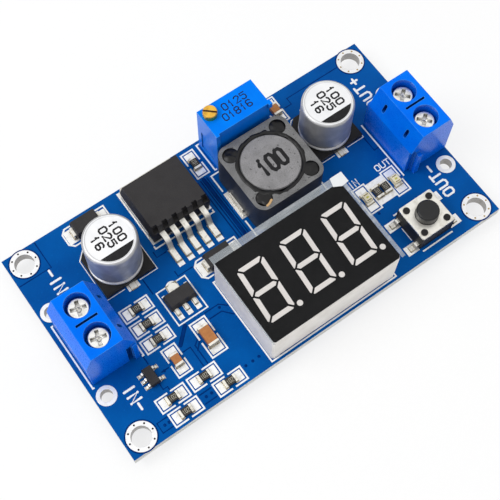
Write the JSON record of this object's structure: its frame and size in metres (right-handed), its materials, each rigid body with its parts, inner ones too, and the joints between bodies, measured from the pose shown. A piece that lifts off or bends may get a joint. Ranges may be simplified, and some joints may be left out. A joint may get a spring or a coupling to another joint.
{
  "type": "buck converter module",
  "caption": "Rectangular blue circuit board that steps a voltage down, with screw terminals at both ends, round capacitors, a shielded inductor, a trimmer, a push button and a digit display.",
  "frame": {"origin": "centre of the four mounting holes, on the board's underside", "axes": "+X from the input end to the output end, +Y from the display's side to the trimmer's side, +Z out of the board's component side"},
  "size_m": [0.065, 0.0356, 0.0142],
  "materials": {
    "board_blue": "glossy solder mask",
    "tinned": "tinned copper",
    "white_ink": "printed ink",
    "solder": "smooth solder",
    "block_blue": "moulded nylon",
    "contact_metal": "tinned brass",
    "screw_steel": "nickel plated",
    "clamp_metal": "nickel plated",
    "can_silver": "satin drawn aluminium",
    "base_black": "heat resisting plastic",
    "ferrite_dark": "sintered ferrite",
    "ferrite_grey": "ground ferrite",
    "winding_copper": "enamelled copper",
    "epoxy_black": "moulded epoxy",
    "tab_metal": "tinned copper",
    "trimmer_blue": "moulded plastic",
    "potting_cream": "potting resin",
    "brass_head": "turned brass",
    "element_white": "alumina",
    "display_white": "moulded plastic",
    "face_black": "printed foil",
    "segment_grey": "diffusing resin",
    "inner_board": "bare circuit board",
    "clear_film": "clear protective film",
    "tab_white": "film",
    "cover_metal": "nickel plated sheet",
    "button_black": "moulded plastic",
    "dome_steel": "spring steel",
    "chip_dark": "glazed chip",
    "chip_tan": "fired ceramic",
    "light_cream": "clear lens on a pale base"
  },
  "bodies": {
    "module": {"circuit_board": "board_blue", "plated_holes": "tinned", "solder_lands": "tinned", "silkscreen": "white_ink", "pin_solder": "solder", "input_terminal_housing": "block_blue", "output_terminal_housing": "block_blue", "terminal_contacts": "contact_metal", "input_capacitor_can": "can_silver", "input_capacitor_base": "base_black", "output_capacitor_can": "can_silver", "output_capacitor_base": "base_black", "capacitor_leads": "tinned", "inductor_shield": "ferrite_dark", "inductor_drum": "ferrite_grey", "inductor_winding": "winding_copper", "inductor_terminals": "tinned", "regulator_body": "epoxy_black", "regulator_tab": "tab_metal", "regulator_leads": "tinned", "trimmer_case": "trimmer_blue", "trimmer_base": "potting_cream", "trimmer_element": "element_white", "trimmer_pins": "tinned", "display_housing": "display_white", "display_face": "face_black", "display_segments": "segment_grey", "display_board": "inner_board", "display_pins": "tinned", "display_film": "clear_film", "film_tab": "tab_white", "controller_body": "epoxy_black", "controller_leads": "tinned", "switch_base": "button_black", "switch_cover": "cover_metal", "switch_dome": "dome_steel", "switch_leads": "tinned", "input_diode_body": "epoxy_black", "input_diode_leads": "tinned", "catch_diode_body": "epoxy_black", "catch_diode_leads": "tinned", "meter_regulator_body": "epoxy_black", "meter_regulator_leads": "tinned", "sense_chip_body": "epoxy_black", "sense_chip_leads": "tinned", "chip_resistors": "chip_dark", "chip_capacitors": "chip_tan", "chip_end_caps": "tinned", "status_lights": "light_cream"},
    "input_screw_plus_body": {"input_screw_plus": "screw_steel"},
    "input_clamp_plus_body": {"input_clamp_plus": "clamp_metal"},
    "input_screw_minus_body": {"input_screw_minus": "screw_steel"},
    "input_clamp_minus_body": {"input_clamp_minus": "clamp_metal"},
    "output_screw_plus_body": {"output_screw_plus": "screw_steel"},
    "output_clamp_plus_body": {"output_clamp_plus": "clamp_metal"},
    "output_screw_minus_body": {"output_screw_minus": "screw_steel"},
    "output_clamp_minus_body": {"output_clamp_minus": "clamp_metal"},
    "trimmer_screw_body": {"trimmer_screw": "brass_head"},
    "trimmer_wiper_body": {"trimmer_wiper": "brass_head"},
    "switch_button_body": {"switch_button": "button_black"}
  },
  "joints": [
    {"name": "input_screw_plus_turn", "type": "hinge", "parent": "module", "child": "input_screw_plus_body", "pos_m": [-0.0277, 0.00204, 0.0098], "axis": [0, 0, -1], "range_deg": [0, 1370]},
    {"name": "input_clamp_plus_rise", "type": "slide", "parent": "module", "child": "input_clamp_plus_body", "axis": [0, 0, 1], "range_m": [0, 0.0019]},
    {"name": "input_screw_minus_turn", "type": "hinge", "parent": "module", "child": "input_screw_minus_body", "pos_m": [-0.0277, -0.00304, 0.0098], "axis": [0, 0, -1], "range_deg": [0, 1370]},
    {"name": "input_clamp_minus_rise", "type": "slide", "parent": "module", "child": "input_clamp_minus_body", "axis": [0, 0, 1], "range_m": [0, 0.0019]},
    {"name": "output_screw_plus_turn", "type": "hinge", "parent": "module", "child": "output_screw_plus_body", "pos_m": [0.02876, 0.00264, 0.0098], "axis": [0, 0, -1], "range_deg": [0, 1370]},
    {"name": "output_clamp_plus_rise", "type": "slide", "parent": "module", "child": "output_clamp_plus_body", "axis": [0, 0, 1], "range_m": [0, 0.0019]},
    {"name": "output_screw_minus_turn", "type": "hinge", "parent": "module", "child": "output_screw_minus_body", "pos_m": [0.02876, -0.00244, 0.0098], "axis": [0, 0, -1], "range_deg": [0, 1370]},
    {"name": "output_clamp_minus_rise", "type": "slide", "parent": "module", "child": "output_clamp_minus_body", "axis": [0, 0, 1], "range_m": [0, 0.0019]},
    {"name": "trimmer_screw_turn", "type": "hinge", "parent": "module", "child": "trimmer_screw_body", "pos_m": [0.00326, 0.01555, 0.0116], "axis": [0, 0, -1], "range_deg": [-4502, 4502]},
    {"name": "trimmer_wiper_slide", "type": "slide", "parent": "module", "child": "trimmer_wiper_body", "axis": [0, 0, 1], "range_m": [-0.00337, 0.00337]},
    {"name": "button_press", "type": "slide", "parent": "module", "child": "switch_button_body", "axis": [0, 0, 1], "range_m": [-0.00025, 0], "stiffness_N_per_m": 6000, "deforming": ["switch_dome"]}
  ],
  "couplings": [
    {"joint": "input_screw_plus_turn", "follows": "input_clamp_plus_rise", "rad_per_m": 12566},
    {"joint": "input_screw_minus_turn", "follows": "input_clamp_minus_rise", "rad_per_m": 12566},
    {"joint": "output_screw_plus_turn", "follows": "output_clamp_plus_rise", "rad_per_m": 12566},
    {"joint": "output_screw_minus_turn", "follows": "output_clamp_minus_rise", "rad_per_m": 12566},
    {"joint": "trimmer_screw_turn", "follows": "trimmer_wiper_slide", "rad_per_m": 23271}
  ]
}
